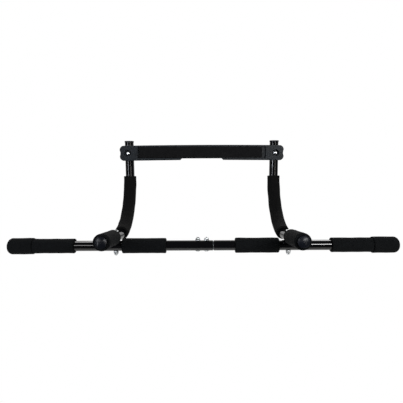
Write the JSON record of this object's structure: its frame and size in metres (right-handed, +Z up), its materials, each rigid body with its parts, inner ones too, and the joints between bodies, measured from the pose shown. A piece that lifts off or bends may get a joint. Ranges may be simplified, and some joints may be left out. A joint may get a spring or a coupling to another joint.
{
  "type": "doorway pull up bar",
  "caption": "Doorway pull up bar: a two-part straight bar with foam grips, crossed by two bent tubes with forward handles that rise to a padded brace.",
  "frame": {"origin": "the middle of the front face of the brace's foam pad, which presses on the wall above the door", "axes": "+X along the straight bar, to the user's right as they face the door; +Y away from the user, through the doorway; +Z up when the bar is fitted and the handles are level"},
  "size_m": [0.9465, 0.3357, 0.3074],
  "materials": {
    "tube_paint": "gloss",
    "zinc_steel": "gloss",
    "grip_foam": "matte",
    "sleeve_foam": "matte",
    "end_pad_foam": "matte",
    "pad_foam": "matte",
    "brace_plastic": "satin",
    "plug_plastic": "satin",
    "black_plastic": "satin"
  },
  "bodies": {
    "root": {"left_main_tube": "tube_paint", "right_main_tube": "tube_paint", "left_frame_tube": "tube_paint", "right_frame_tube": "tube_paint", "left_inner_grip": "grip_foam", "right_inner_grip": "grip_foam", "left_outer_grip": "grip_foam", "right_outer_grip": "grip_foam", "left_handle_grip": "grip_foam", "right_handle_grip": "grip_foam", "left_frame_sleeve": "sleeve_foam", "right_frame_sleeve": "sleeve_foam", "left_end_pad": "end_pad_foam", "right_end_pad": "end_pad_foam", "left_bar_plug": "black_plastic", "right_bar_plug": "black_plastic", "left_handle_plug": "plug_plastic", "right_handle_plug": "plug_plastic", "left_top_plug": "black_plastic", "right_top_plug": "black_plastic", "door_brace": "brace_plastic", "brace_pad": "pad_foam", "joint_bolts": "zinc_steel", "joint_washers": "zinc_steel", "joint_nuts": "zinc_steel", "cross_bolts": "zinc_steel", "cross_washers": "zinc_steel", "cross_nuts": "zinc_steel", "brace_bolts": "zinc_steel", "brace_washers": "zinc_steel", "brace_nuts": "zinc_steel"}
  },
  "joints": []
}
